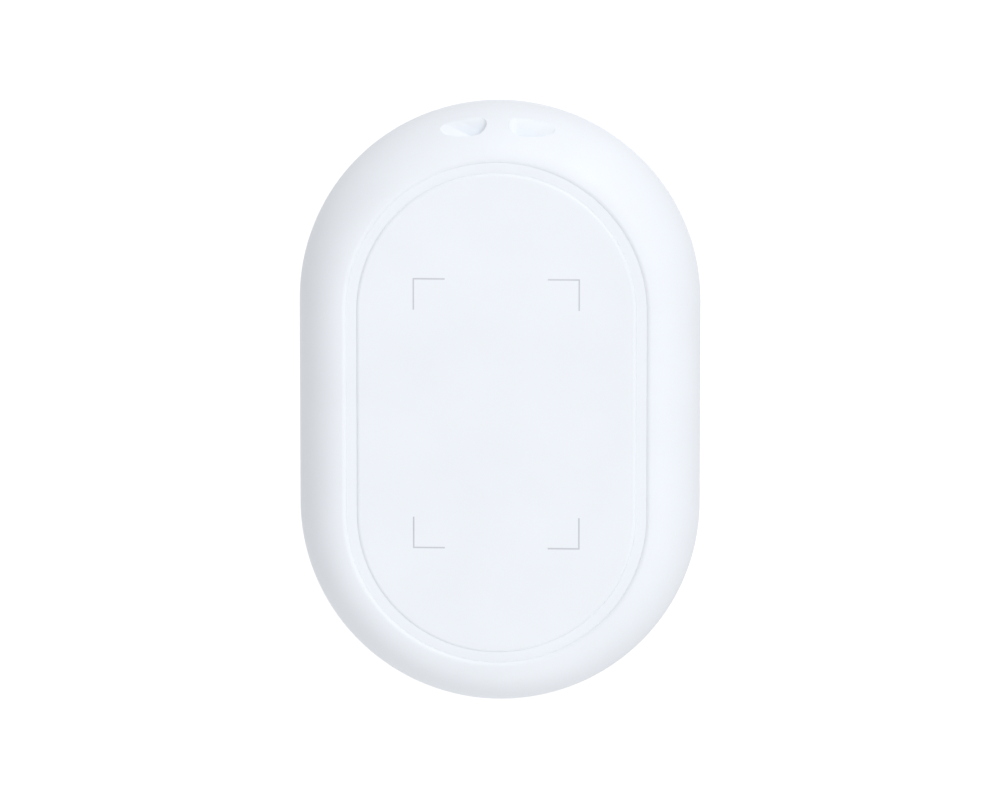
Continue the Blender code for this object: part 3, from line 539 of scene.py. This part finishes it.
def make_front_shell():
    angles = rim_angles()
    rim = [rim_point(angle) for angle in angles]
    seam_corner = (BODY_RADIUS, SEAM_TOP)
    seam = rounded(seam_corner, rim[-1], (CAVITY_RADIUS, SEAM_TOP), SEAM_ROUND)
    inside = [
        (CAVITY_RADIUS, SEAM_TOP),
        (CAVITY_RADIUS, CEILING),
        (LEDGE_RADIUS, CEILING),
        (LEDGE_RADIUS, LEDGE_TOP),
        (STEP_RADIUS, LEDGE_TOP),
    ]
    foot = (STEP_RADIUS, SEAL_HIGH.z)
    step_edge = bend(foot, (STEP_RADIUS + STEP_SOFTNESS, FACE_TOP), rim[0])[:-1]
    profile = rim + seam + inside + step_edge
    shell = loft("front_shell_fine", profile, ring=True, fine=True)
    radius = CAVITY_RADIUS + OVERLAP
    solid_end = loft("strap_block", [(radius, STRAP_BLOCK_Z), (radius, CEILING + OVERLAP)])
    length = 2 * cad_high.y
    size = (4 * BODY_RADIUS, length, 2 * FACE_TOP)
    end_cut = block("end_cut", size, (0, STRAP_BLOCK_Y - length / 2, FACE_TOP / 2))
    combine(solid_end, [end_cut], "DIFFERENCE")
    combine(shell, [solid_end], "UNION")
    combine(shell, [scoop_cutter(1), scoop_cutter(-1), cord_passage()], "DIFFERENCE")
    return place(shell, "body", "shell_white", "front_shell")


def place(obj, body, slot, *replaced):
    """Puts a finished piece on its body and hides the CAD nodes it stands for; its slot is not used."""
    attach(obj, body)
    if replaced:
        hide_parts(*replaced)
    return obj


# Face


def make_face_seal():
    inner, outer = PANEL_RADIUS + SEAL_TOUCH, STEP_RADIUS - SEAL_TOUCH
    low, high = SEAL_LOW.z, SEAL_HIGH.z
    profile = [(outer, high), (outer, low), (inner, low), (inner, high)]
    seal = loft("face_seal_fine", profile, ring=True)
    return place(seal, "body", "seal_white", "face_seal")


def make_face_panel():
    rim_inner, foot = PANEL_RIM
    top = FACE_TOP - PRINT_DEPTH
    edge = bend(
        (PANEL_RADIUS, SEAL_HIGH.z),
        (PANEL_RADIUS - PANEL_SOFTNESS, top),
        (PANEL_RADIUS - PANEL_ROUND, top),
    )
    profile = [(rim_inner, CEILING), (rim_inner, foot), (PANEL_RADIUS, foot)]
    panel = loft("face_panel_fine", profile + edge + [(PANEL_RADIUS - PANEL_FLAT, top)])
    return place(panel, "face", "panel_white", "face_panel")


def corner_mark(name, side, end):
    """A thin printed angle on the panel: two arms from a corner towards the middle."""
    half = MARK_WIDTH / 2
    corners = [
        (half, half),
        (half, -MARK_ARM),
        (-half, -MARK_ARM),
        (-half, -half),
        (-MARK_ARM, -half),
        (-MARK_ARM, half),
    ]
    points = []
    for index, point in enumerate(corners):
        following = corners[(index + 1) % len(corners)]
        points += rounded(point, corners[index - 1], following, MARK_ROUND)
    bm = bmesh.new()
    rows = []
    for height in (FACE_TOP - PRINT_DEPTH - PRINT_SINK, FACE_TOP):
        row = []
        for x, y in points:
            place_x = side * (MARK_CORNER[0] + x)
            row.append(bm.verts.new((place_x, end * (MARK_CORNER[1] + y), height)))
        rows.append(row)
    bm.faces.new(rows[0])
    bm.faces.new(rows[1])
    for index in range(len(points)):
        bm.faces.new((rows[0][index - 1], rows[0][index], rows[1][index], rows[1][index - 1]))
    return mesh_object(name, bm)


def make_corner_marks():
    """Four equal marks, numbered round from the upper right."""
    marks = []
    for side, end in ((1, 1), (-1, 1), (-1, -1), (1, -1)):
        mark = corner_mark(f"corner_mark_{len(marks) + 1}", side, end)
        marks.append(place(mark, "face", "holder_grey"))
    return marks


# Back


def around_door(angle, orbit):
    """A point at this distance from the door's axis, at an angle clockwise from +Y."""
    return orbit * math.sin(angle), DOOR_AXIS[1] + orbit * math.cos(angle)


def lug_angles():
    return [2 * math.pi * index / LUG_COUNT for index in range(LUG_COUNT)]


def make_rear_cover():
    inner, outer, top = SKIRT
    profile = []
    for step in range(BACK_EDGE_STEPS + 1):
        angle = math.pi / 2 * step / BACK_EDGE_STEPS
        radius = BODY_RADIUS - BACK_EDGE * (1 - math.sin(angle))
        profile.append((radius, BACK_EDGE * (1 - math.cos(angle))))
    profile += rounded((BODY_RADIUS, SEAM_LOW), profile[-1], (outer, SEAM_LOW), SEAM_ROUND)
    profile += [(outer, SEAM_LOW), (outer, top), (inner, top), (inner, COVER_FLOOR)]
    cover = loft("rear_cover_fine", profile)
    combine(cover, [door_pad(), *door_stops()], "UNION")
    combine(cover, door_openings(), "DIFFERENCE")
    return place(cover, "body", "shell_white", "rear_cover")


def door_pad():
    radius, top = DOOR_PAD
    low = COVER_FLOOR - OVERLAP
    return turned("pad", [(0, low), (radius, low), (radius, top), (0, top)], place=DOOR_AXIS)


def door_stops():
    """Small round posts that stop each lug where it is locked and where it is free."""
    low = DOOR_PAD[1] - OVERLAP
    top = DOOR_NECK[2]
    profile = [(0, low), (STOP_RADIUS, low)]
    profile += rounded((STOP_RADIUS, top), profile[-1], (0, top), OVERLAP) + [(0, top)]
    stops = []
    for angle in lug_angles():
        for offset in STOP_ANGLES:
            post = around_door(angle + offset, STOP_ORBIT)
            stops.append(turned("stop", profile, place=post, steps=SMALL_TURN_STEPS))
    return stops


def door_openings():
    """Cutters for the door's seat with its flared mouth, the hole and the notches for the lugs."""
    radius, top = DOOR_SEAT
    wide = radius + SEAT_FLARE
    seat = [(0, -CLEAR), (wide, -CLEAR), (wide, 0), (radius, SEAT_FLARE), (radius, top), (0, top)]
    high = DOOR_PAD[1] + CLEAR
    hole = [(0, -CLEAR), (DOOR_HOLE_RADIUS, -CLEAR), (DOOR_HOLE_RADIUS, high), (0, high)]
    cutters = [turned("seat", seat, place=DOOR_AXIS), turned("hole", hole, place=DOOR_AXIS)]
    for angle in lug_angles():
        centre = (*around_door(angle + DOOR_TURN, LUG_NOTCH_CENTRE), top)
        cutters.append(block("notch", LUG_NOTCH, centre, -angle - DOOR_TURN))
    return cutters


def make_battery_door():
    inner, outer, neck_top = DOOR_NECK
    groove_radius, groove_low, groove_high = DOOR_GROOVE
    radius, low, top = DOOR_HIGH.x, DOOR_LOW.z, DOOR_DECK
    profile = [(0, top), (inner, top)]
    profile += rounded((inner, neck_top), (inner, top), (outer, neck_top), NECK_ROUND)
    profile += rounded((outer, neck_top), (inner, neck_top), (outer, top), NECK_ROUND)
    profile += [(outer, top), (radius, top), (radius, groove_high)]
    profile += [(groove_radius, groove_high), (groove_radius, groove_low)]
    profile += [(radius, groove_low)]
    profile += rounded((radius, low), (radius, groove_low), (0, low), DOOR_ROUND) + [(0, low)]
    door = turned("battery_door_fine", profile, place=DOOR_AXIS)
    lugs = []
    for angle in lug_angles():
        centre = (*around_door(angle, LUG_CENTRE[0]), LUG_CENTRE[1])
        lugs.append(block("lug", LUG_SIZE, centre, -angle, edge=LUG_ROUND))
    combine(door, lugs, "UNION")
    length, width, depth = COIN_SLOT
    mouth = COIN_SLOT_MOUTH
    centre = (*DOOR_AXIS, low)
    slot = block("slot", (length, width, 2 * depth), centre, edge=COIN_SLOT_ROUND)
    size = (length + mouth, width + mouth, mouth)
    combine(door, [slot, block("flare", size, centre, edge=COIN_SLOT_ROUND)], "DIFFERENCE")
    return place(door, "door", "shell_white", "battery_door")


# Materials


class Nodes:
    """A material's node tree, with short ways to add nodes and links."""

    def __init__(self, name):
        self.material = bpy.data.materials.new(name)
        self.material.use_nodes = True
        self.tree = self.material.node_tree
        self.shader = self.tree.nodes["Principled BSDF"]
        self.place = self.add("ShaderNodeTexCoord").outputs["Object"]

    def add(self, kind, **values):
        """A new node, with values for its inputs and its other settings."""
        node = self.tree.nodes.new(kind)
        for key, value in values.items():
            if key in node.inputs:
                node.inputs[key].default_value = value
            else:
                setattr(node, key, value)
        return node

    def link(self, output, target):
        self.tree.links.new(output, target)

    def noise(self, scale, detail=2.0, roughness=0.5):
        node = self.add("ShaderNodeTexNoise", Scale=scale, Detail=detail, Roughness=roughness)
        self.link(self.place, node.inputs["Vector"])
        return node.outputs["Fac"]

    def ranged(self, value, low, high, start=0.3, end=0.7):
        node = self.add("ShaderNodeMapRange")
        node.inputs["From Min"].default_value = start
        node.inputs["From Max"].default_value = end
        node.inputs["To Min"].default_value = low
        node.inputs["To Max"].default_value = high
        self.link(value, node.inputs["Value"])
        return node.outputs["Result"]

    def mixed(self, value, first, second):
        node = self.add("ShaderNodeMix", data_type="RGBA")
        self.link(value, node.inputs["Factor"])
        node.inputs["A"].default_value = (*first, 1)
        node.inputs["B"].default_value = (*second, 1)
        return node.outputs["Result"]

    def bump(self, height, distance):
        node = self.add("ShaderNodeBump", Distance=distance, Strength=1.0)
        self.link(height, node.inputs["Height"])
        self.link(node.outputs["Normal"], self.shader.inputs["Normal"])

    def set(self, **values):
        for key, value in values.items():
            self.shader.inputs[key.replace("_", " ")].default_value = value


def moulded(name, colour, roughness, grain, depth, spread):
    """Moulded or fired: a fine grain, faint clouding of the colour and the gloss."""
    nodes = Nodes(name)
    cloud = nodes.noise(CLOUD_SCALE, 3)
    lighter = tuple(min(1.0, c * (1 + spread)) for c in colour)
    darker = tuple(c * (1 - spread) for c in colour)
    colour = nodes.mixed(nodes.ranged(cloud, 0, 1), darker, lighter)
    nodes.link(colour, nodes.shader.inputs["Base Color"])
    gloss = nodes.noise(GLOSS_SCALE, 3)
    gloss = nodes.ranged(gloss, roughness - GLOSS_SPREAD, roughness + GLOSS_SPREAD)
    nodes.link(gloss, nodes.shader.inputs["Roughness"])
    nodes.bump(nodes.noise(grain, 3, 0.6), depth)
    nodes.set(IOR=PLASTIC_IOR)
    return nodes.material


def metal(name, colour, roughness, grain, depth):
    """Plated or rolled metal: patchy gloss, slight tarnish and a fine rolled grain."""
    nodes = Nodes(name)
    patches = nodes.ranged(nodes.noise(WEAR_SCALE, 4), 0, 1)
    worn = tuple(c * WORN for c in colour)
    nodes.link(nodes.mixed(patches, worn, colour), nodes.shader.inputs["Base Color"])
    gloss = nodes.noise(METAL_GLOSS_SCALE, 3)
    gloss = nodes.ranged(gloss, roughness - METAL_GLOSS_SPREAD, roughness + METAL_GLOSS_SPREAD)
    nodes.link(gloss, nodes.shader.inputs["Roughness"])
    nodes.bump(nodes.noise(grain, 2), depth)
    nodes.set(Metallic=1.0)
    return nodes.material


def board_green():
    """Solder mask over patches of parallel tracks, which stand up slightly under it."""
    nodes = Nodes("board_green")
    runs = []
    for direction in ("X", "Y"):
        tracks = nodes.add("ShaderNodeTexWave", wave_profile="TRI", Scale=TRACK_SCALE)
        tracks.bands_direction = direction
        nodes.link(nodes.place, tracks.inputs["Vector"])
        runs.append(nodes.ranged(tracks.outputs["Fac"], 0, 1, *TRACK_EDGE))
    patches = nodes.add("ShaderNodeTexVoronoi", distance="CHEBYCHEV", Scale=PATCH_SCALE)
    nodes.link(nodes.place, patches.inputs["Vector"])
    which = nodes.ranged(patches.outputs["Color"], 0, 1, *PATCH_EDGE)
    chosen = nodes.add("ShaderNodeMix", data_type="FLOAT")
    nodes.link(which, chosen.inputs["Factor"])
    nodes.link(runs[0], chosen.inputs["A"])
    nodes.link(runs[1], chosen.inputs["B"])
    height = chosen.outputs["Result"]
    colour = nodes.mixed(height, *BOARD_COLOURS)
    nodes.link(colour, nodes.shader.inputs["Base Color"])
    gloss = nodes.ranged(nodes.noise(BOARD_GLOSS_SCALE, 3), *BOARD_GLOSS)
    nodes.link(gloss, nodes.shader.inputs["Roughness"])
    nodes.bump(height, TRACK_HEIGHT)
    return nodes.material


def make_materials():
    made = {name: moulded(name, *values) for name, values in MOULDED.items()}
    made |= {name: metal(name, *values) for name, values in METALS.items()}
    made["board_green"] = board_green()
    return made


def finish_inner_parts(materials):
    """Materials and softened edges for the nodes carried over from the CAD model."""
    for name, nodes in PAINTED.items():
        for node in nodes:
            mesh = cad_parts[node].data
            mesh.materials.clear()
            mesh.materials.append(materials[name])
    for width, nodes in SOFTENED:
        for node in nodes:
            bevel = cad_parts[node].modifiers.new("edges", "BEVEL")
            bevel.width = width
            bevel.segments = 3
            bevel.limit_method = "ANGLE"
            bevel.angle_limit = SOFTENED_ANGLE


# Stage


def make_floor():
    """A light table: plain white, and bright enough that it shows no shadow."""
    bm = bmesh.new()
    bmesh.ops.create_grid(bm, x_segments=2, y_segments=2, size=FLOOR_HALF)
    floor = mesh_object("floor", bm)
    nodes = Nodes("floor_white")
    nodes.set(Base_Color=(FLOOR_GREY, FLOOR_GREY, FLOOR_GREY, 1))
    nodes.set(Emission_Color=(1, 1, 1, 1), Emission_Strength=FLOOR_GLOW)
    roughness = nodes.ranged(nodes.noise(FLOOR_GRAIN), *FLOOR_ROUGHNESS)
    nodes.link(roughness, nodes.shader.inputs["Roughness"])
    floor.data.materials.append(nodes.material)
    floor.visible_diffuse = False
    floor.visible_glossy = False
    floor.visible_shadow = False


def area_light(name, place, side, power):
    """A square softbox that faces the object."""
    data = bpy.data.lights.new(name, "AREA")
    data.size = side
    data.energy = power
    lamp = bpy.data.objects.new(name, data)
    lamp.location = place
    lamp.rotation_mode = "QUATERNION"
    lamp.rotation_quaternion = (-Vector(place)).to_track_quat("-Z", "Y")
    bpy.context.scene.collection.objects.link(lamp)


def make_lights():
    """A softbox high to the upper right, a weak one low at the foot, and a plain bright room."""
    world = bpy.data.worlds.new("studio")
    world.use_nodes = True
    tree = world.node_tree
    background = tree.nodes["Background"]
    direction = tree.nodes.new("ShaderNodeTexCoord")
    parts = tree.nodes.new("ShaderNodeSeparateXYZ")
    level = tree.nodes.new("ShaderNodeMapRange")
    level.inputs["From Min"].default_value = -ROOM_CHANGE
    level.inputs["From Max"].default_value = ROOM_CHANGE
    level.inputs["To Min"].default_value = ROOM_BELOW
    level.inputs["To Max"].default_value = ROOM_ABOVE
    seen = tree.nodes.new("ShaderNodeLightPath")
    strength = tree.nodes.new("ShaderNodeMath")
    strength.operation = "MAXIMUM"
    tree.links.new(direction.outputs["Generated"], parts.inputs["Vector"])
    tree.links.new(parts.outputs["Z"], level.inputs["Value"])
    tree.links.new(level.outputs["Result"], strength.inputs[0])
    tree.links.new(seen.outputs["Is Camera Ray"], strength.inputs[1])
    tree.links.new(strength.outputs["Value"], background.inputs["Strength"])
    background.inputs["Color"].default_value = (1, 1, 1, 1)
    bpy.context.scene.world = world
    area_light("key", *KEY_LIGHT)
    area_light("fill", *FILL_LIGHT)


def make_camera():
    """From far above, tipped a little to the strap end and to the right."""
    data = bpy.data.cameras.new("camera")
    data.lens = LENS
    data.clip_start, data.clip_end = CAMERA_CLIP
    camera = bpy.data.objects.new("camera", data)
    away = Vector((math.tan(VIEW_TILT[0]), math.tan(VIEW_TILT[1]), 1)).normalized()
    across = Vector((0, 1, 0)).cross(away).normalized()
    turned_axes = Matrix((across, away.cross(across), away)).transposed()
    target = Vector((0, 0, SEAM_TOP))
    camera.rotation_mode = "QUATERNION"
    camera.rotation_quaternion = turned_axes.to_quaternion()
    camera.location = target + away * CAMERA_DISTANCE
    bpy.context.scene.collection.objects.link(camera)
    bpy.context.scene.camera = camera


def main():
    bpy.context.scene.view_settings.view_transform = "Standard"
    materials = make_materials()
    pieces = [
        ("shell_white", make_front_shell()),
        ("seal_white", make_face_seal()),
        ("panel_white", make_face_panel()),
        *(("print_grey", mark) for mark in make_corner_marks()),
        ("shell_white", make_rear_cover()),
        ("shell_white", make_battery_door()),
    ]
    for name, obj in pieces:
        obj.data.materials.append(materials[name])
    finish_inner_parts(materials)
    make_floor()
    make_lights()
    make_camera()


main()
